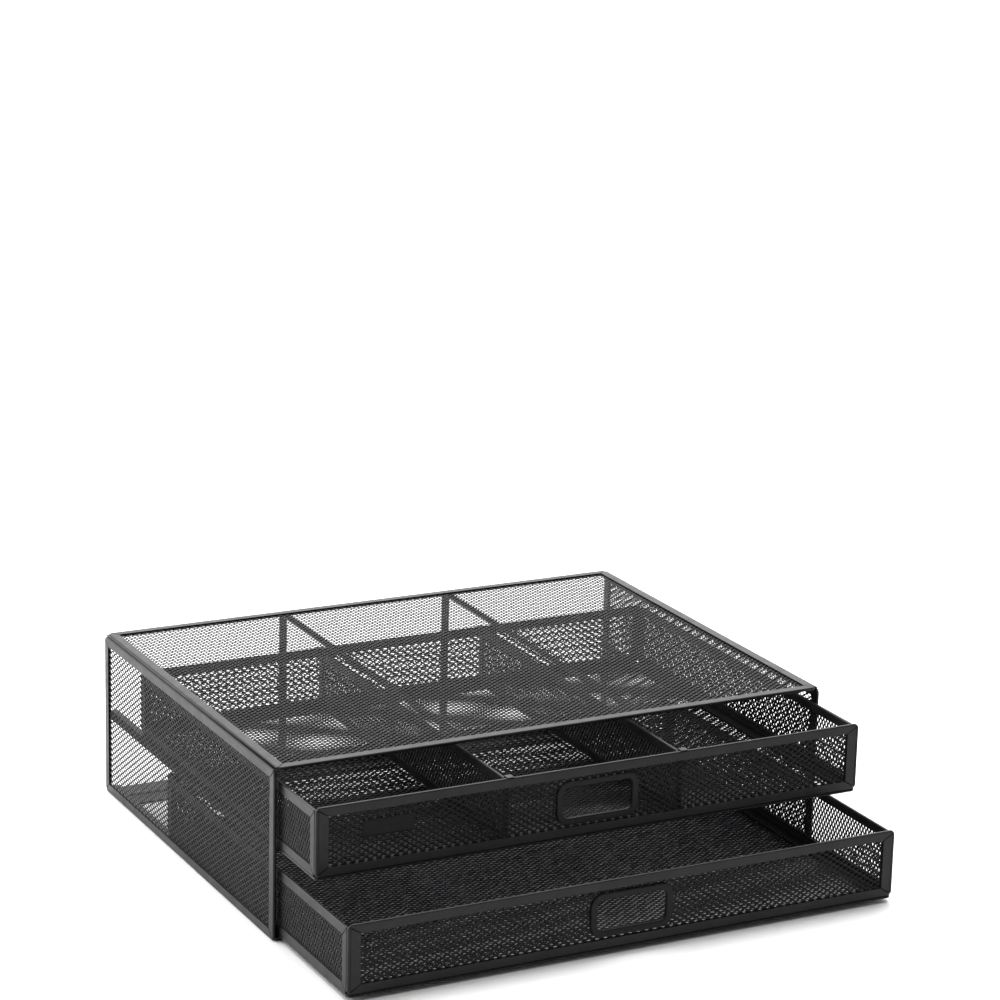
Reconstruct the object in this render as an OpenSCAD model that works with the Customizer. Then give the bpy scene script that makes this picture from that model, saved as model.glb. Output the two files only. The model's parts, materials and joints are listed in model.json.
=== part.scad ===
// Monitor riser stand: an expanded-metal case with an open back and two mesh drawers.
// Millimetres, +Z up. The desk is Z = 0, X = 0 is the middle of the width, and Y = 0 is the
// middle of the whole depth with the drawers standing open as drawn. The drawers open to -Y.

/* [Case] */
// Width over the side panels
stand_w = 420; // [380:1:460]
// Depth of the case, front edge to rear edge
stand_d = 310; // [300:0.5:360]
// Height from the desk to the top of the deck
stand_h = 121.5; // [121.5:0.1:140]

/* [Sheet and hems] */
// Thickness of the expanded-metal sheet over its raised strands
mesh_t = 1; // [0.8:0.1:1.2]
// Width of the folded steel hem round each panel
rim_w = 6.5; // [5:0.5:8]
// Width of the upright bars of the side panels' hems
side_bar_w = 7; // [5:0.5:9]
// Width of the upright bars of the drawer fronts' hems
front_bar_w = 9; // [5:0.5:12]
// Thickness of a hem folded over the sheet
rim_t = 2.4; // [2.2:0.1:2.6]
// Thickness of the flat steel strip
strip_t = 1.2; // [0.8:0.1:1.2]
// Radius of a panel's outer corners
corner_r = 3.5; // [1:0.5:5]

/* [Drawers] */
// Width of a drawer over its walls
drawer_w = 411.6; // [411:0.1:413.4]
// Length of a drawer from its front face to its back face
drawer_l = 306.5; // [280:0.5:306.5]
// Height of a drawer at its front
drawer_h = 49.8; // [42:0.1:50]
// How far the front stands above the other walls
front_rise = 2.3; // [0:0.1:4]
// Height of the lower drawer's underside above the desk
lower_z = 2.7; // [2.7:0.1:3.5]
// Height of the upper drawer's underside above the desk
upper_z = 63.3; // [63.3:0.1:64]
// How far the upper drawer stands open
upper_open = 57.7; // [0:0.1:180]
// How far the lower drawer stands open
lower_open = 108.4; // [0:0.1:180]
// Thickness of the frame under a drawer's walls
floor_t = 1.8; // [1.4:0.1:2.2]
// Distance of each divider from the middle of the drawer
divider_x = 66; // [50:0.5:90]
// Thickness of a divider's hem
divider_t = 2; // [1.6:0.1:2.4]

/* [Handles and label] */
// Width of a handle ring
handle_w = 62; // [50:1:90]
// Height of a handle ring
handle_h = 31; // [24:0.5:32]
// Width of the ring's own band
handle_band = 5; // [3:0.5:6]
// Thickness of a handle ring
handle_t = 3.4; // [2.6:0.1:4]
// Width of the blank label plate
label_w = 36.5; // [20:0.5:50]
// Height of the blank label plate
label_h = 12; // [8:0.5:16]

/* [Rails and braces] */
// Width of a base runner on the desk
base_runner_w = 8; // [6:0.5:10]
// Height of a base runner
base_runner_h = 2.4; // [1.2:0.1:2.4]
// Width of the middle runner's ledge
mid_ledge_w = 6; // [4:0.5:10]
// Height of the middle runner's upright leg
mid_leg_h = 6.4; // [4:0.1:10]
// Distance of each brace from the middle
brace_x = 68; // [50:0.5:120]
// Width of a brace
brace_w = 6; // [4:0.5:10]
// Depth of the tie across the rear of the base
tie_d = 37; // [20:1:50]

/* [Hidden] */
$fn = 64;
steel = "#1d1e20";
mesh_black = "#2b2c2f";
plate_black = "#141416";
hem_back = 1.5;
running_gap = 0.3;
half_w = stand_w / 2;
half_d = stand_d / 2;
handle_proud = (handle_t - rim_t) / 2;
case_y = (lower_open + handle_proud) / 2;
side_inner_x = half_w - rim_t;
deck_w = 2 * side_inner_x;
deck_under = stand_h - rim_t / 2 - mesh_t / 2;
side_h = deck_under;
front_h = drawer_h - floor_t;
wall_h = front_h - front_rise;
side_l = drawer_l - 2 * rim_t;
handle_z = drawer_h / 2 + 0.6;
label_x = -154.4;
label_z = drawer_h / 2 + 6;
label_t = 0.8;
tab_w = 5;
tab_t = 0.6;
tab_l = rim_t + 3;
tab_root = 1;
bead_w = 4;
bead_rise = 1;
floor_border = 10;

// ---- shared shapes, drawn flat and centred on the origin ----

module rounded_rect(w, h, r) {
    square([w - 2 * r, h], center = true);
    square([w, h - 2 * r], center = true);
    for (x = [-1, 1], y = [-1, 1])
        translate([x * (w / 2 - r), y * (h / 2 - r)])
            circle(r);
}

// Sheet of a panel, which reaches into the fold of its hem
module sheet(w, h) {
    cube([w - 2 * hem_back, h - 2 * hem_back, mesh_t], center = true);
}

// Four flat bars in a rectangle, the two across its width and the two bars at its ends
module bars(w, h, border, end_bar) {
    difference() {
        rounded_rect(w, h, corner_r);
        square([w - 2 * end_bar, h - 2 * border], center = true);
    }
}

// Hem folded round a panel's four edges, with the slot that grips the sheet
module hem(w, h, t, border = rim_w, end_bar = rim_w) {
    difference() {
        linear_extrude(t, center = true)
            bars(w, h, border, end_bar);
        sheet(w, h);
    }
}

// Everything of the case hangs from the middle of its footprint
module in_case() {
    translate([0, case_y, 0])
        children();
}

// A drawer's own origin is under the middle of its front face
module in_drawer(open, base_z) {
    translate([0, case_y - half_d - open, base_z])
        children();
}

// Turns a flat panel of height h to stand across the drawer at distance y from the front face
module standing_across(y, h) {
    translate([0, y, floor_t + h / 2])
        rotate([90, 0, 0])
            children();
}

// Turns a flat panel to stand along the drawer at distance x from the middle
module standing_along(x) {
    translate([x, drawer_l / 2, floor_t + wall_h / 2])
        rotate([90, 0, 90])
            children();
}

// ---- case ----

// The deck's sheet, whose left and right edges lie on top of the side panels' hems
module deck_sheet() {
    translate([0, 0, deck_under + mesh_t / 2])
        cube([deck_w + rim_t, stand_d - 2 * hem_back, mesh_t], center = true);
}

module deck_mesh() {
    color(mesh_black)
        in_case()
            deck_sheet();
}

module deck_rim() {
    color(steel)
        in_case()
            difference() {
                translate([0, 0, stand_h - rim_t])
                    linear_extrude(rim_t)
                        bars(deck_w, stand_d, rim_w, rim_w);
                deck_sheet();
            }
}

module side_place(s) {
    in_case()
        translate([s * (half_w - rim_t / 2), 0, side_h / 2])
            rotate([90, 0, 90])
                children();
}

module side_mesh(s) {
    color(mesh_black)
        side_place(s)
            sheet(stand_d, side_h);
}

module side_rim(s) {
    color(steel)
        side_place(s)
            hem(stand_d, side_h, rim_t, end_bar = side_bar_w);
}

module base_runner(s) {
    color(steel)
        in_case()
            translate([s * (side_inner_x - base_runner_w / 2), 0, base_runner_h / 2])
                cube([base_runner_w, stand_d, base_runner_h], center = true);
}

module mid_runner(s) {
    ledge_top = upper_z - running_gap;
    color(steel)
        in_case()
            scale([s, 1, 1]) {
                translate([side_inner_x - mid_ledge_w, -half_d + corner_r, ledge_top - strip_t])
                    cube([mid_ledge_w, stand_d - 2 * corner_r, strip_t]);
                translate([side_inner_x - strip_t, -half_d + corner_r, ledge_top - mid_leg_h])
                    cube([strip_t, stand_d - 2 * corner_r, mid_leg_h]);
            }
}

module deck_brace(s) {
    color(steel)
        in_case()
            translate([s * brace_x, 0, deck_under - strip_t / 2])
                cube([brace_w, stand_d - 2 * rim_w, strip_t], center = true);
}

module rear_strap(s) {
    strap_top = stand_h - rim_t;
    color(steel)
        in_case()
            translate([s * brace_x - brace_w / 2, half_d - strip_t, 0])
                cube([brace_w, strip_t, strap_top]);
}

module rear_base_tie() {
    tie_w = 2 * (side_inner_x - base_runner_w);
    color(steel)
        in_case() {
            translate([-tie_w / 2, half_d - strip_t - tie_d, 0])
                cube([tie_w, tie_d, strip_t]);
            translate([-tie_w / 2, half_d - strip_t - tie_d / 2 - bead_w / 2, strip_t])
                cube([tie_w, bead_w, bead_rise]);
        }
}

// ---- drawers ----

module handle_outline(gap = 0) {
    translate([0, handle_z - floor_t - front_h / 2])
        rounded_rect(handle_w - 2 * gap, handle_h - 2 * gap, 9 - gap);
}

module front_mesh(open, base_z) {
    color(mesh_black)
        in_drawer(open, base_z)
            standing_across(rim_t / 2, front_h)
                difference() {
                    sheet(drawer_w, front_h);
                    linear_extrude(2 * mesh_t, center = true)
                        handle_outline(hem_back);
                }
}

module handle(open, base_z) {
    color(plate_black)
        in_drawer(open, base_z)
            standing_across(rim_t / 2, front_h)
                difference() {
                    linear_extrude(handle_t, center = true)
                        difference() {
                            handle_outline();
                            handle_outline(handle_band);
                        }
                    linear_extrude(mesh_t, center = true)
                        difference() {
                            square([2 * handle_w, 2 * handle_h], center = true);
                            handle_outline(hem_back);
                        }
                }
}

module front_rim(open, base_z) {
    color(steel)
        in_drawer(open, base_z)
            standing_across(rim_t / 2, front_h)
                hem(drawer_w, front_h, rim_t, end_bar = front_bar_w);
}

module back_mesh(open, base_z) {
    color(mesh_black)
        in_drawer(open, base_z)
            standing_across(drawer_l - rim_t / 2, wall_h)
                sheet(drawer_w, wall_h);
}

module back_rim(open, base_z) {
    color(steel)
        in_drawer(open, base_z)
            standing_across(drawer_l - rim_t / 2, wall_h)
                hem(drawer_w, wall_h, rim_t);
}

module wall_mesh(open, base_z, s) {
    color(mesh_black)
        in_drawer(open, base_z)
            standing_along(s * (drawer_w - rim_t) / 2)
                sheet(side_l, wall_h);
}

module wall_rim(open, base_z, s) {
    color(steel)
        in_drawer(open, base_z)
            standing_along(s * (drawer_w - rim_t) / 2)
                hem(side_l, wall_h, rim_t);
}

module floor_place(open, base_z) {
    in_drawer(open, base_z)
        translate([0, drawer_l / 2, floor_t / 2])
            children();
}

module floor_mesh(open, base_z) {
    color(mesh_black)
        floor_place(open, base_z)
            sheet(drawer_w, drawer_l);
}

module floor_rim(open, base_z) {
    color(steel)
        floor_place(open, base_z)
            hem(drawer_w, drawer_l, floor_t, floor_border, floor_border);
}

module divider_mesh(s) {
    color(mesh_black)
        in_drawer(upper_open, upper_z)
            standing_along(s * divider_x)
                sheet(side_l, wall_h);
}

// A tab of the divider's hem that is bent over the top of the wall in front of it. It reaches
// down by root into the hem
module hook_tab(root) {
    translate([-tab_w / 2, 0, 0])
        cube([tab_w, tab_l, tab_t]);
    translate([-tab_w / 2, rim_t, -root])
        cube([tab_w, tab_l - rim_t, root + tab_t]);
}

// A divider's hem, hooked over the drawer's front and back walls
module divider_rim(s) {
    color(steel)
        in_drawer(upper_open, upper_z) {
            standing_along(s * divider_x)
                hem(side_l, wall_h, divider_t);
            translate([s * divider_x, 0, drawer_h])
                hook_tab(front_rise + tab_root);
            translate([s * divider_x, drawer_l, drawer_h - front_rise])
                mirror([0, 1, 0])
                    hook_tab(tab_root);
        }
}

module label_plate() {
    color(plate_black)
        in_drawer(upper_open, upper_z)
            translate([label_x - label_w / 2, (rim_t - mesh_t) / 2 - label_t, label_z - label_h / 2])
                cube([label_w, label_t, label_h]);
}

deck_mesh();
deck_rim();
side_mesh(-1);  // left_side_mesh
side_rim(-1);  // left_side_rim
side_mesh(1);  // right_side_mesh
side_rim(1);  // right_side_rim
base_runner(-1);  // left_base_runner
base_runner(1);  // right_base_runner
mid_runner(-1);  // left_mid_runner
mid_runner(1);  // right_mid_runner
deck_brace(-1);  // left_deck_brace
deck_brace(1);  // right_deck_brace
rear_strap(-1);  // left_rear_strap
rear_strap(1);  // right_rear_strap
rear_base_tie();
front_mesh(upper_open, upper_z);  // upper_front_mesh
front_rim(upper_open, upper_z);  // upper_front_rim
back_mesh(upper_open, upper_z);  // upper_back_mesh
back_rim(upper_open, upper_z);  // upper_back_rim
wall_mesh(upper_open, upper_z, -1);  // upper_left_mesh
wall_rim(upper_open, upper_z, -1);  // upper_left_rim
wall_mesh(upper_open, upper_z, 1);  // upper_right_mesh
wall_rim(upper_open, upper_z, 1);  // upper_right_rim
floor_mesh(upper_open, upper_z);  // upper_floor_mesh
floor_rim(upper_open, upper_z);  // upper_floor_rim
handle(upper_open, upper_z);  // upper_handle
label_plate();
divider_mesh(-1);  // left_divider_mesh
divider_rim(-1);  // left_divider_rim
divider_mesh(1);  // right_divider_mesh
divider_rim(1);  // right_divider_rim
front_mesh(lower_open, lower_z);  // lower_front_mesh
front_rim(lower_open, lower_z);  // lower_front_rim
back_mesh(lower_open, lower_z);  // lower_back_mesh
back_rim(lower_open, lower_z);  // lower_back_rim
wall_mesh(lower_open, lower_z, -1);  // lower_left_mesh
wall_rim(lower_open, lower_z, -1);  // lower_left_rim
wall_mesh(lower_open, lower_z, 1);  // lower_right_mesh
wall_rim(lower_open, lower_z, 1);  // lower_right_rim
floor_mesh(lower_open, lower_z);  // lower_floor_mesh
floor_rim(lower_open, lower_z);  // lower_floor_rim
handle(lower_open, lower_z);  // lower_handle
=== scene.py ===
"""Monitor riser stand: what is seen of it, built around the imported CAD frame.

Every panel is a sheet of expanded metal, its diamond openings real geometry, held in a folded
steel hem. Sizes and places come from the CAD nodes' boxes. Lengths are in metres.
"""

import json
import math

import bmesh
import bpy
import numpy as np
from mathutils import Matrix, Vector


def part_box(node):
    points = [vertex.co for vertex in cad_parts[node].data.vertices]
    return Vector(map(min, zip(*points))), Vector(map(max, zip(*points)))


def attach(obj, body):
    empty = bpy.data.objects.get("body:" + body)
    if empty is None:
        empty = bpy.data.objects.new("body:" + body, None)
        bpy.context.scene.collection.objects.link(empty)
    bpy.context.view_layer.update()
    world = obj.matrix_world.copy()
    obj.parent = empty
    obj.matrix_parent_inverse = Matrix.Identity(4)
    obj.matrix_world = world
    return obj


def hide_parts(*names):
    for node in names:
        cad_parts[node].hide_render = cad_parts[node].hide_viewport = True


MM = 0.001
X_AXIS, Y_AXIS, Z_AXIS = range(3)

# ---- the camera, as the stand was seen: a long lens, from the front left and above ----

CAMERA_PLACE = (-1.0178, -1.9470, 0.8646)
CAMERA_YAW = 0.4831
CAMERA_PITCH = 0.2708
CAMERA_ROLL = 0.0257
CAMERA_LENS_MM = 118.3
SENSOR_MM = 36.0

# ---- expanded metal ----

LONG_PITCH = 6.33 * MM
SHORT_PITCH = 4.13 * MM
WALL_SHORT_PITCH = 3.7 * MM
STRAND_WIDTH = 1.4 * MM
STRAND_THICKNESS = 0.68 * MM
STRAND_LEAN = 0.24 * MM
SIDE_PANEL_LEAN = -1
DECK_LEAN = -0.35
DECK_MARGIN = 2.5 * MM
FINGER_HOLE_WIDTH = 56.5 * MM
FINGER_HOLE_HEIGHT = 25 * MM

# ---- folded steel hems ----

HEM_WIDTH = 6.5 * MM
SIDE_BAR_WIDTH = 7.0 * MM
FRONT_BAR_WIDTH = 9.0 * MM
FLOOR_FRAME_WIDTH = 10.0 * MM
DIVIDER_HEM_THICKNESS = 2 * MM
FOLD_RADIUS = 1.0 * MM
FOLD_SHARE = 0.9  # the most of a hem's half thickness that its fold may take
FOLD_STEPS = 4
CORNER_RADIUS = 3.5 * MM
CORNER_STEPS = 5
MITRE_GAP = 0.08 * MM
MITRE_CHAMFER = 0.3 * MM
MITRE_SPREAD = 0.2  # how far a bar's stations spread past its mitre, in corner radii
SEAM_AT = 1.6 * MM
SEAM_WIDTH = 0.6 * MM
SEAM_DEPTH = 0.35 * MM
SLOT_DEPTH = 1.6 * MM
SLOT_GAP = 1.1 * MM

# ---- spot welds on the hems ----

WELD_RADIUS = 1.4 * MM
WELD_RISE = 0.16 * MM
WELD_SIDES = 14
WELD_SPACING = 62 * MM
WELD_INSET = 0.55  # from the panel's edge to a weld's middle, in bar widths
WELD_FREE_ALONG = 6  # bar widths without welds on a long bar, both ends together
WELD_FREE_UP = 3  # the same on a short bar
WELD_LEVELS = (  # share of the radius, and height over the hem
    (1.0, -0.1 * MM),
    (1.0, 0.0),
    (0.72, 0.7 * WELD_RISE),
    (0.35, WELD_RISE),
)

# ---- strips, rails, handles and the label ----

STRIP = 1.2 * MM
RUNNER_BEND_RADIUS = 1.3 * STRIP
BEAD_HALF_WIDTH = 2.6 * MM
BEAD_POINTS = 9

HANDLE_BAND = 5 * MM
HANDLE_LIP = 0.7 * MM
HANDLE_WEB = 1.2 * MM
HANDLE_INNER_ROUND = 1.1 * MM
HANDLE_GRIP = 0.55 * MM  # half the gap that takes the sheet
HANDLE_CORNER_RADIUS = 9 * MM
HANDLE_CORNER_STEPS = 8

LABEL_CORNER_RADIUS = 1.3 * MM
LABEL_CORNER_SHRINK = 0.9  # how much the corner radius falls for each unit of inset
LABEL_CORNER_STEPS = 5
LABEL_LEVELS = (  # inset from the edge, and height as a share of the plate's thickness
    (0, -0.5),
    (0, 0.3),
    (0.25 * MM, 0.5),
    (0.9 * MM, 0.5),
    (1.05 * MM, 0.36),
)

TAB_REACH = 2.4 * MM
TAB_LAP = 3 * MM
TAB_HALF_WIDTH = 2.5 * MM
TAB_ROOT = 1 * MM
TAB_THICKNESS = 0.6 * MM
TAB_BEND_POINTS = 4

EDGE_BEVEL = 0.18 * MM
HANDLE_BEVEL = 0.1 * MM
LABEL_BEVEL = 0.05 * MM
BEVEL_SEGMENTS = 2
BEVEL_FROM_DEGREES = 35

# ---- finishes: each noise is its cells per metre, its detail, and the range of it in use ----

TINT_NOISE, TINT_RANGE = (38, 4), (0.35, 0.65)
WEAR_NOISE, WEAR_RANGE = (260, 3), (0.42, 0.62)
GLOSS_NOISE, GLOSS_RANGE = (90, 5), (0.3, 0.7)
PEEL_NOISE = (1900, 2)
PEEL_DEPTH = 0.06 * MM
NOISE_ROUGHNESS = 0.55
BLUE_TRACE = 1.04  # the blue of a grey against its red and green
EDGE_POINTINESS = (0.53, 0.62)  # where an edge starts to look rubbed, and where it is at most
RUBBED_BRIGHTNESS = 6  # a rubbed edge against the coat
GLOSS_BELOW, GLOSS_ABOVE = 0.06, 0.08  # how far the roughness wanders

# ---- the studio ----

FLOOR_RADIUS = 2.0
FLOOR_SIDES = 96
FLOOR_DROP = 0.2 * MM
FLOOR_GREY = 0.86
FLOOR_ROUGHNESS = 0.7
WORLD_FADE = {"From Min": -0.5, "From Max": 0.5, "To Min": 0.2, "To Max": 2.3}
LIGHTS_AIM = (0, 0, 0.06)
SOFTBOXES = {  # place, width and height, and power in watts
    "left_softbox": ((-2.2, 1.6, 0.9), (2.0, 1.6), 40),
    "top_softbox": ((0.3, 0.6, 2.0), (2.6, 2.2), 75),
}

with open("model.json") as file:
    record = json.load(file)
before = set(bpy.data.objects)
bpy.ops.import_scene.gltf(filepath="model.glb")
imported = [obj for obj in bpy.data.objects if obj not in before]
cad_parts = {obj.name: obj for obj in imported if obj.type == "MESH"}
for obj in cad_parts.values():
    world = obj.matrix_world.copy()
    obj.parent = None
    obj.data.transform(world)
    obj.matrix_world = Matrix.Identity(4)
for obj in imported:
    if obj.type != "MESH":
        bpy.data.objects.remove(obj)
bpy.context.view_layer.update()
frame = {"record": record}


# ---- places ----


class Place:
    """The axes of a flat panel in the row frame: along and up lie in it, and out points away."""

    def __init__(self, centre, along, up):
        self.centre = np.array(centre, float)
        self.along = np.array(along, float)
        self.up = np.array(up, float)
        self.out = np.cross(self.along, self.up)

    def points(self, local):
        """Local (along, up, out) points, in the row frame."""
        local = np.asarray(local, float)
        return self.centre + local @ np.array([self.along, self.up, self.out])

    def size(self, low, high):
        """Width, height and thickness of a box in this place's axes."""
        span = np.array(high) - np.array(low)
        return [abs(float(span @ axis)) for axis in (self.along, self.up, self.out)]


ROW_FRAME = Place((0, 0, 0), (1, 0, 0), (0, 1, 0))
FACING = {
    "front": ((1, 0, 0), (0, 0, 1)),
    "back": ((-1, 0, 0), (0, 0, 1)),
    "left": ((0, -1, 0), (0, 0, 1)),
    "right": ((0, 1, 0), (0, 0, 1)),
    "top": ((1, 0, 0), (0, 1, 0)),
}


def panel(node, facing):
    """The place in the middle of a CAD node's box, facing one way, and the box's three sizes."""
    low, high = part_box(node)
    place = Place((low + high) / 2, *FACING[facing])
    return place, place.size(low, high)


# ---- solids ----


class Solid:
    """Points and faces that grow as closed solids are added."""

    def __init__(self):
        self.points = []
        self.faces = []
        self.count = 0

    def add(self, points, faces):
        points = np.asarray(points, float)
        self.points.append(points)
        self.faces += [tuple(int(i) + self.count for i in face) for face in faces]
        self.count += len(points)

    def array(self):
        return np.concatenate(self.points)


def loft(rings, endless=False):
    """Points, and faces that join closed outlines of equal length, one to the next.

    An endless loft joins the last outline to the first. Any other has a cap at each end.
    """
    number, size = len(rings), len(rings[0])
    faces = []
    for i in range(number if endless else number - 1):
        n = (i + 1) % number
        for j in range(size):
            k = (j + 1) % size
            faces.append((i * size + j, i * size + k, n * size + k, n * size + j))
    if not endless:
        faces.append(tuple(range(size))[::-1])
        faces.append(tuple((number - 1) * size + j for j in range(size)))
    return np.concatenate(rings), faces


def arc(centre, radius, start, end, steps):
    """Points of an arc, angles in degrees."""
    angles = [math.radians(start + (end - start) * i / steps) for i in range(steps + 1)]
    return [(centre[0] + radius * math.cos(a), centre[1] + radius * math.sin(a)) for a in angles]


def rounded_outline(width, height, radius, steps):
    """Points round a rounded rectangle, counter-clockwise."""
    points = []
    for u, v, start in ((1, -1, -90), (1, 1, 0), (-1, 1, 90), (-1, -1, 180)):
        centre = (u * (width / 2 - radius), v * (height / 2 - radius))
        points += arc(centre, radius, start, start + 90, steps)
    return points


def box_quads(low, high):
    """A box as points and four-sided faces, from two opposite corners."""
    ends = list(zip(low, high))
    corners = [(x, y, z) for x in ends[0] for y in ends[1] for z in ends[2]]
    faces = [(0, 1, 3, 2), (4, 6, 7, 5), (0, 4, 5, 1), (2, 3, 7, 6), (0, 2, 6, 4), (1, 5, 7, 3)]
    return np.array(corners), np.array(faces)


def swept(node, profile, run):
    """A straight bar along one axis, as long as the node's box.

    The section's points are offsets from the box's low corner, on the other two axes.
    """
    low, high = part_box(node)
    across = [axis for axis in (X_AXIS, Y_AXIS, Z_AXIS) if axis != run]
    section = np.array(profile)
    rings = []
    for end in (low[run], high[run]):
        ring = np.empty((len(section), 3))
        ring[:, run] = end
        for axis, offset in zip(across, section.T):
            ring[:, axis] = low[axis] + offset
        rings.append(ring)
    solid = Solid()
    solid.add(*loft(rings))
    return solid


# ---- hems ----


def hem_profile(width, thick, seam=False):
    """Section of a strip folded over a sheet's edge, as (distance in from the edge, height).

    With a seam, a fine groove runs along the outer face near the edge.
    """
    half = thick / 2
    fold = min(FOLD_RADIUS, half * FOLD_SHARE)
    gap = SLOT_GAP / 2
    groove = []
    if seam:
        groove = [
            (SEAM_AT + SEAM_WIDTH, half),
            (SEAM_AT + SEAM_WIDTH / 2, half - SEAM_DEPTH),
            (SEAM_AT, half),
        ]
    return (
        [(width, half)]
        + groove
        + arc((fold, half - fold), fold, 90, 180, FOLD_STEPS)
        + arc((fold, fold - half), fold, 180, 270, FOLD_STEPS)
        + [(width, -half), (width, -gap), (width - SLOT_DEPTH, -gap)]
        + [(width - SLOT_DEPTH, gap), (width, gap)]
    )


def mitred_bar(profile, length, other_width):
    """A bar with that section, mitred at both ends to bars of the other width.

    Its points are (along, inward, height). Its outer corners are rounded, and the edges of its
    mitred ends are chamfered.
    """
    profile = np.array(profile)
    inward, height = profile[:, 0], profile[:, 1]
    widest = inward.max()
    slope = (other_width - CORNER_RADIUS) / (widest - CORNER_RADIUS)
    rounded = inward < CORNER_RADIUS
    mitre = CORNER_RADIUS + (inward - CORNER_RADIUS) * slope
    reach = CORNER_RADIUS - inward
    stations = []
    for k in range(CORNER_STEPS + 1):
        share = k / CORNER_STEPS
        angle = math.radians(45 + 45 * share)
        straight = mitre + share * CORNER_RADIUS * MITRE_SPREAD
        along = np.where(rounded, CORNER_RADIUS - reach * math.cos(angle), straight)
        depth = np.where(rounded, CORNER_RADIUS - reach * math.sin(angle), inward)
        if k == 0:
            lowered = height * (1 - MITRE_CHAMFER / height.max())
            stations.append((along + MITRE_GAP, depth, lowered))
            along = along + MITRE_CHAMFER
        stations.append((along + MITRE_GAP, depth, height))
    past_mitre = np.full(len(inward), max(widest, other_width) + CORNER_RADIUS)
    stations.append((past_mitre, inward, height))
    first = [np.stack([a, d, h], 1) for a, d, h in stations]
    last = [np.stack([length - a, d, h], 1) for a, d, h in stations[::-1]]
    return loft(first + last)


def on_side(side, width, height, bar):
    """A bar's points, moved to a panel's bottom, right, top or left side (0 to 3)."""
    along, inward, level = bar.T
    u, v = (
        (along - width / 2, inward - height / 2),
        (width / 2 - inward, along - height / 2),
        (width / 2 - along, height / 2 - inward),
        (inward - width / 2, height / 2 - along),
    )[side]
    return np.stack([u, v, level], 1)


def mitred_frame(solid, size, bar, end_bar, end_seams=False):
    """Four mitred hems round a panel of size (width, height, thickness).

    The left and right ones are end_bar wide, and may have a seam.
    """
    width, height, thick = size
    for side in range(4):
        is_end = side % 2 == 1
        own, other = (end_bar, bar) if is_end else (bar, end_bar)
        profile = hem_profile(own, thick, end_seams and is_end)
        points, faces = mitred_bar(profile, height if is_end else width, other)
        solid.add(on_side(side, width, height, points), faces)


def add_weld(solid, centre):
    """The low round mark of a spot weld, on a hem's inner face."""
    angles = [2 * math.pi * i / WELD_SIDES for i in range(WELD_SIDES)]
    rings = []
    for share, rise in WELD_LEVELS:
        radius, level = WELD_RADIUS * share, centre[2] - rise
        ring = [
            (centre[0] + radius * math.cos(a), centre[1] + radius * math.sin(a), level)
            for a in angles
        ]
        rings.append(np.array(ring))
    solid.add(*loft(rings))


def weld_row(solid, length, at, level, along_width=True):
    """Evenly spaced spot welds along a hem."""
    number = max(2, round(length / WELD_SPACING))
    for i in range(number):
        offset = length * ((i + 0.5) / number - 0.5)
        add_weld(solid, (offset, at, level) if along_width else (at, offset, level))


# ---- expanded metal ----


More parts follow.
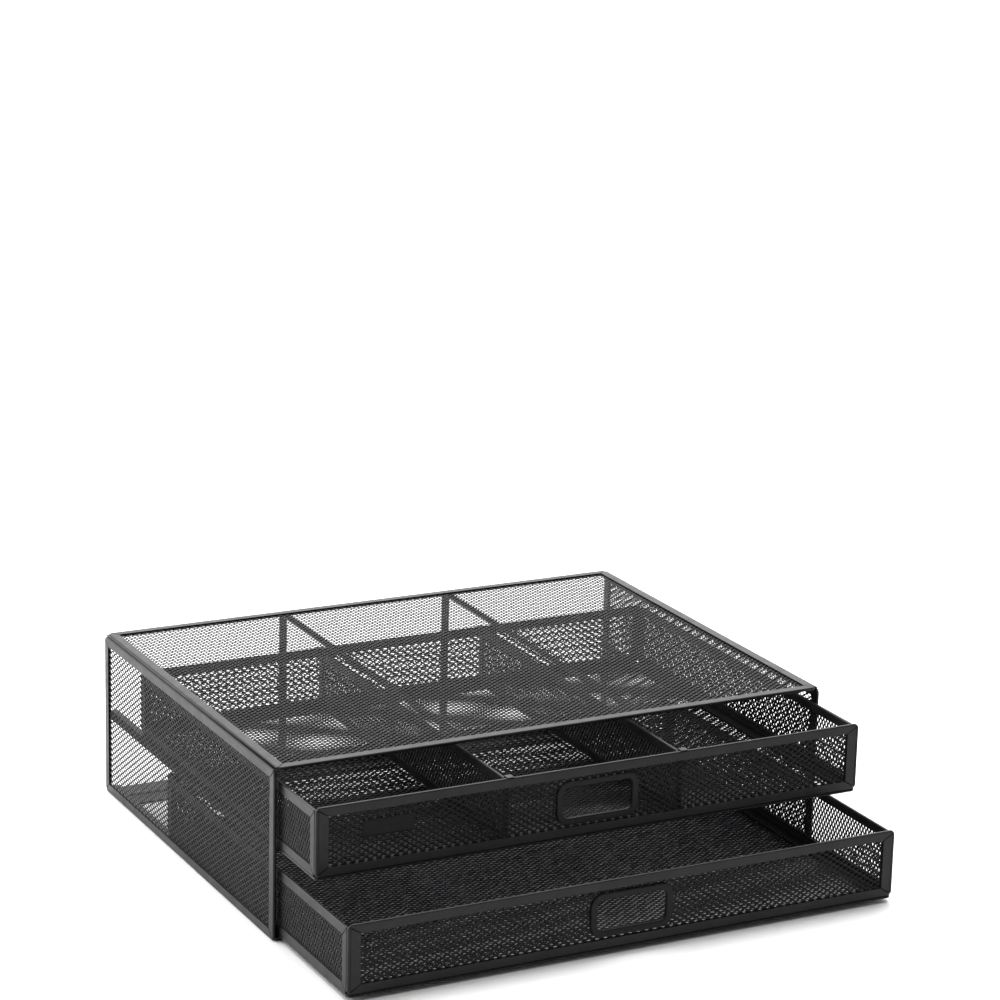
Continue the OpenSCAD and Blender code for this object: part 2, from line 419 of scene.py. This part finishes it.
def expanded_metal(width, height, short_pitch=SHORT_PITCH, lean=1, hole=None):
    """A sheet of staggered diamond openings, its long pitch along the width.

    Whole diamonds fill the rectangle. Round each opening the strands rise to a ridge at the
    joints. With a lean above 0 they tilt so that an opening's lower lip stands forward and its
    upper lip back, and with one below 0 the other way.
    hole is (centre, centre, width, height) of a rectangle left out.
    """
    across = max(1, round(width / LONG_PITCH))
    rows = max(1, round(height / short_pitch))
    half_long, half_short = width / across / 2, height / rows / 2
    half_pitch = np.array([half_long, half_short])
    low_corner = np.array([width, height]) / 2
    odd = [(p, q) for p in range(1, 2 * across, 2) for q in range(1, 2 * rows, 2)]
    even = [(p, q) for p in range(2, 2 * across, 2) for q in range(2, 2 * rows, 2)]
    cells = np.array(odd + even)
    centre = cells * half_pitch - low_corner
    if hole is not None:
        in_width = abs(centre[:, 0] - hole[0]) < hole[2] / 2
        in_height = abs(centre[:, 1] - hole[1]) < hole[3] / 2
        outside = ~(in_width & in_height)
        cells, centre = cells[outside], centre[outside]
    number = len(cells)

    # An opening is its cell made smaller, to leave half a strand inside each of the cell's sides.
    inner_radius = half_long * half_short / math.hypot(half_long, half_short)
    share = 1 - STRAND_WIDTH / 2 / inner_radius
    tip, lip = half_long * share, half_short * share

    # The joints at the cells' tips, each numbered once, with one point above and one below.
    joint = np.full((2 * across + 1, 2 * rows + 1), -1)
    sides = np.array([(1, 0), (0, 1), (-1, 0), (0, -1)])
    for du, dv in sides:
        joint[cells[:, 0] + du, cells[:, 1] + dv] = 0
    used = np.argwhere(joint == 0)
    joints = len(used)
    joint[used[:, 0], used[:, 1]] = np.arange(joints)
    plan = used * half_pitch - low_corner
    ridge = np.full(joints, STRAND_THICKNESS / 2)
    points = [np.column_stack([plan, ridge]), np.column_stack([plan, -ridge])]

    # The four corners of each opening, in the sheet's middle but for the lean.
    rise = lean * STRAND_LEAN
    for du, dv, level in ((tip, 0, 0), (0, lip, -rise), (-tip, 0, 0), (0, -lip, rise)):
        points.append(np.column_stack([centre + (du, dv), np.full(number, level)]))
    corner = [2 * joints + k * number + np.arange(number) for k in range(4)]
    end = [joint[cells[:, 0] + du, cells[:, 1] + dv] for du, dv in sides]

    faces, edges = [], []
    for k in range(4):
        n = (k + 1) % 4
        faces.append(np.stack([end[k], end[n], corner[n], corner[k]], 1))
        faces.append(np.stack([end[n] + joints, end[k] + joints, corner[k], corner[n]], 1))
        edges.append(np.stack([end[k], end[n]], 1))

    # An edge that only one cell has lies on the sheet's rim, which is closed by a narrow wall.
    edges = np.concatenate(edges)
    pair = np.sort(edges, 1)
    key = pair[:, 0] * joints + pair[:, 1]
    _, first, count = np.unique(key, return_index=True, return_counts=True)
    rim = edges[first[count == 1]]
    faces.append(np.stack([rim[:, 1], rim[:, 0], rim[:, 0] + joints, rim[:, 1] + joints], 1))
    return np.concatenate(points), np.concatenate(faces)


def turned(points):
    """The same sheet with its long pitch upright."""
    return np.stack([-points[:, 1], points[:, 0], points[:, 2]], 1)


# ---- objects ----


def linked(name, data):
    """A new object in the scene."""
    thing = bpy.data.objects.new(name, data)
    bpy.context.scene.collection.objects.link(thing)
    return thing


def mesh_object(name, points, faces):
    """A piece made of four-sided faces."""
    mesh = bpy.data.meshes.new(name)
    faces = np.asarray(faces)
    mesh.vertices.add(len(points))
    mesh.vertices.foreach_set("co", np.asarray(points, np.float32).ravel())
    mesh.loops.add(faces.size)
    mesh.loops.foreach_set("vertex_index", faces.astype(np.int32).ravel())
    mesh.polygons.add(len(faces))
    mesh.polygons.foreach_set("loop_start", np.arange(0, faces.size, 4, dtype=np.int32))
    mesh.update(calc_edges=True)
    mesh.shade_smooth()
    return linked(name, mesh)


def solid_object(name, solid, place, bevel=EDGE_BEVEL):
    """A piece made of closed solids, with its sharp edges softened."""
    mesh = bpy.data.meshes.new(name)
    mesh.from_pydata([tuple(p) for p in place.points(solid.array())], [], solid.faces)
    work = bmesh.new()
    work.from_mesh(mesh)
    bmesh.ops.recalc_face_normals(work, faces=work.faces)
    work.to_mesh(mesh)
    work.free()
    mesh.shade_smooth()
    piece = linked(name, mesh)
    soften = piece.modifiers.new("soft_edges", "BEVEL")
    soften.width = bevel
    soften.segments = BEVEL_SEGMENTS
    soften.limit_method = "ANGLE"
    soften.angle_limit = math.radians(BEVEL_FROM_DEGREES)
    soften.use_clamp_overlap = True
    even = piece.modifiers.new("even_shading", "WEIGHTED_NORMAL")
    even.keep_sharp = True
    return piece


BODY_OF = {
    node: body
    for body, nodes in frame["record"]["behaviour"]["bodies"].items()
    for node in nodes
}
SLOT_OF = {entry["node"]: entry["material_slot"] for entry in frame["record"]["subparts"]}
MATERIALS = {}


def stands_for(piece, node):
    """The piece takes the CAD node's place, body, slot and finish."""
    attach(piece, BODY_OF[node])
    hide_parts(node)
    piece.data.materials.append(MATERIALS[SLOT_OF[node]])


# ---- finishes ----


def powder_coat(name, dark, light, rough, grain, worn=0.0, gloss=0.2):
    """Satin black powder coat: fine orange peel, patchy tint and gloss, and edges rubbed paler."""
    material = bpy.data.materials.new(name)
    material.use_nodes = True
    tree = material.node_tree
    nodes, link = tree.nodes, tree.links.new
    shader = nodes["Principled BSDF"]
    place = nodes.new("ShaderNodeTexCoord")

    def noise(scale, detail):
        texture = nodes.new("ShaderNodeTexNoise")
        texture.inputs["Scale"].default_value = scale
        texture.inputs["Detail"].default_value = detail
        texture.inputs["Roughness"].default_value = NOISE_ROUGHNESS
        link(place.outputs["Object"], texture.inputs["Vector"])
        return texture.outputs["Fac"]

    def spread(value, span, to_low, to_high):
        change = nodes.new("ShaderNodeMapRange")
        change.inputs["From Min"].default_value = span[0]
        change.inputs["From Max"].default_value = span[1]
        change.inputs["To Min"].default_value = to_low
        change.inputs["To Max"].default_value = to_high
        link(value, change.inputs["Value"])
        return change.outputs["Result"]

    def mix(factor, first, second):
        blend = nodes.new("ShaderNodeMix")
        blend.data_type = "RGBA"
        link(factor, blend.inputs["Factor"])
        for key, colour in (("A", first), ("B", second)):
            target = [s for s in blend.inputs if s.name == key and s.type == "RGBA"][0]
            if isinstance(colour, tuple):
                target.default_value = (*colour, 1)
            else:
                link(colour, target)
        return [s for s in blend.outputs if s.type == "RGBA"][0]

    colour = mix(spread(noise(*TINT_NOISE), TINT_RANGE, 0, 1), dark, light)
    if worn:
        edge = nodes.new("ShaderNodeNewGeometry").outputs["Pointiness"]
        rubbed = nodes.new("ShaderNodeMath")
        rubbed.operation = "MULTIPLY"
        link(spread(edge, EDGE_POINTINESS, 0, worn), rubbed.inputs[0])
        link(spread(noise(*WEAR_NOISE), WEAR_RANGE, 0, 1), rubbed.inputs[1])
        bare = tuple(min(1, RUBBED_BRIGHTNESS * c) for c in light)
        colour = mix(rubbed.outputs["Value"], colour, bare)
    link(colour, shader.inputs["Base Color"])
    shader.inputs["Specular IOR Level"].default_value = gloss
    patches = spread(noise(*GLOSS_NOISE), GLOSS_RANGE, rough - GLOSS_BELOW, rough + GLOSS_ABOVE)
    link(patches, shader.inputs["Roughness"])
    peel = nodes.new("ShaderNodeBump")
    peel.inputs["Strength"].default_value = grain
    peel.inputs["Distance"].default_value = PEEL_DEPTH
    link(noise(*PEEL_NOISE), peel.inputs["Height"])
    link(peel.outputs["Normal"], shader.inputs["Normal"])
    return material


def grey(value):
    """A grey with a trace of blue."""
    return (value, value, value * BLUE_TRACE)


def make_materials():
    """One finish for each material slot."""
    MATERIALS["expanded_mesh"] = powder_coat(
        "black_coat_on_mesh", grey(0.006), grey(0.010), 0.4, 0.25, gloss=0.15
    )
    MATERIALS["steel_hem"] = powder_coat(
        "black_coat_on_hem", grey(0.007), grey(0.011), 0.34, 0.35, worn=0.3
    )
    MATERIALS["steel_strip"] = powder_coat(
        "black_coat_on_strip", grey(0.007), grey(0.011), 0.36, 0.35, worn=0.25
    )
    MATERIALS["handle_ring"] = powder_coat(
        "black_coat_on_handle", grey(0.004), grey(0.006), 0.3, 0.3, worn=0.2, gloss=0.12
    )
    MATERIALS["label_plate"] = powder_coat(
        "black_enamel", grey(0.003), grey(0.005), 0.3, 0.12, gloss=0.1
    )


# ---- panels ----


def make_sheet(node, facing, upright=False, lean=1, hole=None):
    """The expanded metal of a flat panel. Its edges end inside the hem."""
    place, (width, height, _) = panel(node, facing)
    if upright:
        points, faces = expanded_metal(height, width, WALL_SHORT_PITCH, lean)
        points = turned(points)
    else:
        points, faces = expanded_metal(width, height, lean=lean, hole=hole)
    stands_for(mesh_object(node + "_detail", place.points(points), faces), node)


def make_hem(node, facing, bar=HEM_WIDTH, end_bar=HEM_WIDTH, end_seams=False):
    """The folded hem round a panel: four mitred bars, with spot welds on the inner face."""
    place, size = panel(node, facing)
    width, height, thick = size
    solid = Solid()
    mitred_frame(solid, size, bar, end_bar, end_seams)
    for side in (-1, 1):
        edge = side * (height / 2 - bar * WELD_INSET)
        weld_row(solid, width - WELD_FREE_ALONG * bar, edge, -thick / 2)
        edge = side * (width / 2 - end_bar * WELD_INSET)
        weld_row(solid, height - WELD_FREE_UP * bar, edge, -thick / 2, along_width=False)
    stands_for(solid_object(node + "_detail", solid, place), node)


def make_deck():
    """The deck's sheet in its border. The sheet's plain side edges lie on the side panels."""
    place, (width, depth, thick) = panel("deck_mesh", "top")
    points, faces = expanded_metal(width - 2 * DECK_MARGIN, depth, lean=DECK_LEAN)
    for side in (-1, 1):
        outer, inner = side * width / 2, side * (width / 2 - DECK_MARGIN)
        low = (min(outer, inner), -depth / 2, -thick / 2)
        high = (max(outer, inner), depth / 2, thick / 2)
        strip, strip_faces = box_quads(low, high)
        faces = np.concatenate([faces, strip_faces + len(points)])
        points = np.concatenate([points, strip])
    stands_for(mesh_object("deck_mesh_detail", place.points(points), faces), "deck_mesh")
    place, size = panel("deck_rim", "top")
    solid = Solid()
    mitred_frame(solid, size, HEM_WIDTH, HEM_WIDTH)
    stands_for(solid_object("deck_rim_detail", solid, place), "deck_rim")


# ---- strips and rails ----


def make_strip(node, run):
    """A plain flat strip that fills its node's box and runs along one axis."""
    low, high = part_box(node)
    width, height = [high[axis] - low[axis] for axis in range(3) if axis != run]
    outline = [(0, 0), (width, 0), (width, height), (0, height)]
    solid = swept(node, outline, run)
    stands_for(solid_object(node + "_detail", solid, ROW_FRAME), node)


def make_mid_runner(node, side):
    """An angle rail: an upright leg on the side panel, with the ledge turned in at its top."""
    low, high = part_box(node)
    width, height = high.x - low.x, high.z - low.z
    bend = (width - RUNNER_BEND_RADIUS, height - RUNNER_BEND_RADIUS)
    outline = [(width, 0)] + arc(bend, RUNNER_BEND_RADIUS, 0, 90, FOLD_STEPS)
    outline += [(0, height), (0, height - STRIP)]
    outline += arc(bend, RUNNER_BEND_RADIUS - STRIP, 90, 0, FOLD_STEPS)
    outline += [(width - STRIP, 0)]
    if side < 0:
        outline = [(width - x, z) for x, z in outline]
    solid = swept(node, outline, Y_AXIS)
    stands_for(solid_object(node + "_detail", solid, ROW_FRAME), node)


def make_rear_tie():
    """The flat tie across the rear of the base, with a rounded bead pressed along it."""
    node = "rear_base_tie"
    low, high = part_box(node)
    depth, rise = high.y - low.y, high.z - low.z
    crown = [
        (depth / 2 + BEAD_HALF_WIDTH * math.cos(a), STRIP + (rise - STRIP) * math.sin(a))
        for a in np.linspace(0, math.pi, BEAD_POINTS)
    ]
    outline = [(0, 0), (depth, 0), (depth, STRIP)] + crown + [(0, STRIP)]
    solid = swept(node, outline, X_AXIS)
    stands_for(solid_object(node + "_detail", solid, ROW_FRAME), node)


# ---- what the drawers carry ----


def make_handle(node):
    """The ring that grips the sheet round the finger gap: two rounded flanges and a web."""
    place, (width, height, thick) = panel(node, "front")
    half, lip, inner = thick / 2, HANDLE_LIP, HANDLE_INNER_ROUND
    slot_end = HANDLE_BAND - HANDLE_WEB
    section = (
        arc((lip, half - lip), lip, 180, 90, FOLD_STEPS)
        + arc((HANDLE_BAND - inner, half - inner), inner, 90, 0, FOLD_STEPS)
        + arc((HANDLE_BAND - inner, inner - half), inner, 0, -90, FOLD_STEPS)
        + arc((lip, lip - half), lip, 270, 180, FOLD_STEPS)
        + [(0, -HANDLE_GRIP), (slot_end, -HANDLE_GRIP), (slot_end, HANDLE_GRIP), (0, HANDLE_GRIP)]
    )
    loops = []
    for inset, level in section:
        radius = HANDLE_CORNER_RADIUS - inset
        outline = rounded_outline(
            width - 2 * inset, height - 2 * inset, radius, HANDLE_CORNER_STEPS
        )
        loops.append([(u, v, level) for u, v in outline])
    rings = [np.array(ring) for ring in zip(*loops)]
    solid = Solid()
    solid.add(*loft(rings, endless=True))
    stands_for(solid_object(node + "_detail", solid, place, bevel=HANDLE_BEVEL), node)


def make_label():
    """The label plate, blank, with rounded corners and a fine raised border."""
    node = "label_plate"
    place, (width, height, thick) = panel(node, "front")
    rings = []
    for inset, level in LABEL_LEVELS:
        radius = LABEL_CORNER_RADIUS - inset * LABEL_CORNER_SHRINK
        outline = rounded_outline(
            width - 2 * inset, height - 2 * inset, radius, LABEL_CORNER_STEPS
        )
        rings.append(np.array([(u, v, level * thick) for u, v in outline]))
    solid = Solid()
    solid.add(*loft(rings))
    stands_for(solid_object(node + "_detail", solid, place, bevel=LABEL_BEVEL), node)


def divider_tabs(solid, width, height):
    """A tab at each end of the divider, bent over the top of the wall that it meets."""
    front_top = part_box("upper_front_rim")[1].z
    wall_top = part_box("upper_left_rim")[1].z
    base = height / 2 - TAB_ROOT
    for end, rise in ((-1, 0), (1, front_top - wall_top)):
        crown = height / 2 + rise
        low, wall, high = (end * (width / 2 + reach) for reach in (-TAB_LAP, 0, TAB_REACH))
        outline = [(low, base), (low, crown + TAB_THICKNESS)]
        outline += [
            (high - end * TAB_THICKNESS * (1 - math.sin(a)), crown + TAB_THICKNESS * math.cos(a))
            for a in np.linspace(0, math.pi / 2, TAB_BEND_POINTS)
        ]
        outline += [(wall, crown), (wall, base)]
        faces_at = (-TAB_HALF_WIDTH, TAB_HALF_WIDTH)
        solid.add(*loft([np.array([(u, v, out) for u, v in outline]) for out in faces_at]))


def make_divider_hem(node):
    """A divider's hem. The node's box also holds its tabs, so the hem's size is the wall's."""
    low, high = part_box(node)
    wall_low, wall_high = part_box("upper_left_rim")
    middle = (wall_low + wall_high) / 2
    place = Place(((low.x + high.x) / 2, middle.y, middle.z), *FACING["left"])
    width, height = wall_high.y - wall_low.y, wall_high.z - wall_low.z
    solid = Solid()
    mitred_frame(solid, (width, height, DIVIDER_HEM_THICKNESS), HEM_WIDTH, HEM_WIDTH)
    divider_tabs(solid, width, height)
    stands_for(solid_object(node + "_detail", solid, place), node)


# ---- the three bodies ----


def make_case():
    """The deck, the side panels, and the strips and rails between them."""
    make_deck()
    for name, side in (("left", -1), ("right", 1)):
        make_sheet(name + "_side_mesh", name, lean=SIDE_PANEL_LEAN)
        make_hem(name + "_side_rim", name, end_bar=SIDE_BAR_WIDTH)
        make_strip(name + "_base_runner", Y_AXIS)
        make_mid_runner(name + "_mid_runner", side)
        make_strip(name + "_deck_brace", Y_AXIS)
        make_strip(name + "_rear_strap", Z_AXIS)
    make_rear_tie()


def make_drawer(name, has_dividers):
    """A drawer's five panels and its handle. The one with dividers has the label too."""
    ring_low, ring_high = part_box(name + "_handle")
    sheet_low, sheet_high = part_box(name + "_front_mesh")
    hole_up = (ring_low.z + ring_high.z - sheet_low.z - sheet_high.z) / 2
    hole = (0, hole_up, FINGER_HOLE_WIDTH, FINGER_HOLE_HEIGHT)
    make_sheet(name + "_front_mesh", "front", hole=hole)
    make_hem(name + "_front_rim", "front", end_bar=FRONT_BAR_WIDTH, end_seams=True)
    make_sheet(name + "_back_mesh", "back")
    make_hem(name + "_back_rim", "back")
    for side in ("left", "right"):
        make_sheet(f"{name}_{side}_mesh", side, upright=True)
        make_hem(f"{name}_{side}_rim", side)
    make_sheet(name + "_floor_mesh", "top")
    make_hem(name + "_floor_rim", "top", FLOOR_FRAME_WIDTH, FLOOR_FRAME_WIDTH)
    make_handle(name + "_handle")
    if has_dividers:
        for side in ("left", "right"):
            make_sheet(side + "_divider_mesh", side, upright=True)
            make_divider_hem(side + "_divider_rim")
        make_label()


# ---- the studio ----


def make_floor():
    """A wide, pale, matt floor just under the stand."""
    mesh = bpy.data.meshes.new("studio_floor")
    work = bmesh.new()
    bmesh.ops.create_circle(work, cap_ends=True, radius=FLOOR_RADIUS, segments=FLOOR_SIDES)
    work.to_mesh(mesh)
    work.free()
    floor = linked("studio_floor", mesh)
    floor.location.z = -FLOOR_DROP
    material = bpy.data.materials.new("pale_floor")
    material.use_nodes = True
    shader = material.node_tree.nodes["Principled BSDF"]
    shader.inputs["Base Color"].default_value = (FLOOR_GREY, FLOOR_GREY, FLOOR_GREY, 1)
    shader.inputs["Roughness"].default_value = FLOOR_ROUGHNESS
    mesh.materials.append(material)


def softbox(name, place, size, power):
    """A rectangular area light that faces the middle of the stand."""
    light = bpy.data.lights.new(name, "AREA")
    light.shape = "RECTANGLE"
    light.size, light.size_y = size
    light.energy = power
    lamp = linked(name, light)
    back = np.array(place, float) - np.array(LIGHTS_AIM, float)
    back /= np.linalg.norm(back)
    side = np.cross((0, 0, 1), back)
    side /= np.linalg.norm(side)
    over = np.cross(back, side)
    turn = Matrix([list(row) for row in np.array([side, over, back]).T]).to_4x4()
    lamp.matrix_world = Matrix.Translation(place) @ turn


def make_light():
    """A world that is white to the eye, and as light bright behind the stand and dim before it.

    Two softboxes light the stand from above, and from behind on its left.
    """
    world = bpy.data.worlds.new("pale_studio")
    world.use_nodes = True
    nodes, link = world.node_tree.nodes, world.node_tree.links.new
    glow = nodes["Background"]
    glow.inputs["Color"].default_value = (1, 1, 1, 1)
    direction = nodes.new("ShaderNodeTexCoord")
    split = nodes.new("ShaderNodeSeparateXYZ")
    link(direction.outputs["Generated"], split.inputs["Vector"])
    fade = nodes.new("ShaderNodeMapRange")
    fade.interpolation_type = "SMOOTHSTEP"
    for name, value in WORLD_FADE.items():
        fade.inputs[name].default_value = value
    link(split.outputs["Y"], fade.inputs["Value"])
    seen = nodes.new("ShaderNodeLightPath")
    brighter = nodes.new("ShaderNodeMath")
    brighter.operation = "MAXIMUM"
    link(fade.outputs["Result"], brighter.inputs[0])
    link(seen.outputs["Is Camera Ray"], brighter.inputs[1])
    link(brighter.outputs["Value"], glow.inputs["Strength"])
    bpy.context.scene.world = world
    for name, (place, size, power) in SOFTBOXES.items():
        softbox(name, place, size, power)
    bpy.context.scene.view_settings.view_transform = "Standard"


def make_camera():
    """The camera, turned by its yaw to the right, its pitch down and its roll."""
    data = bpy.data.cameras.new("view_camera")
    data.sensor_width = SENSOR_MM
    data.lens = CAMERA_LENS_MM
    data.dof.use_dof = False
    camera = linked("view_camera", data)
    turn = (
        Matrix.Rotation(-CAMERA_YAW, 4, "Z")
        @ Matrix.Rotation(math.pi / 2 - CAMERA_PITCH, 4, "X")
        @ Matrix.Rotation(CAMERA_ROLL, 4, "Z")
    )
    camera.matrix_world = Matrix.Translation(CAMERA_PLACE) @ turn
    bpy.context.scene.camera = camera


make_camera()
make_materials()
make_case()
make_drawer("upper", True)
make_drawer("lower", False)
make_floor()
make_light()
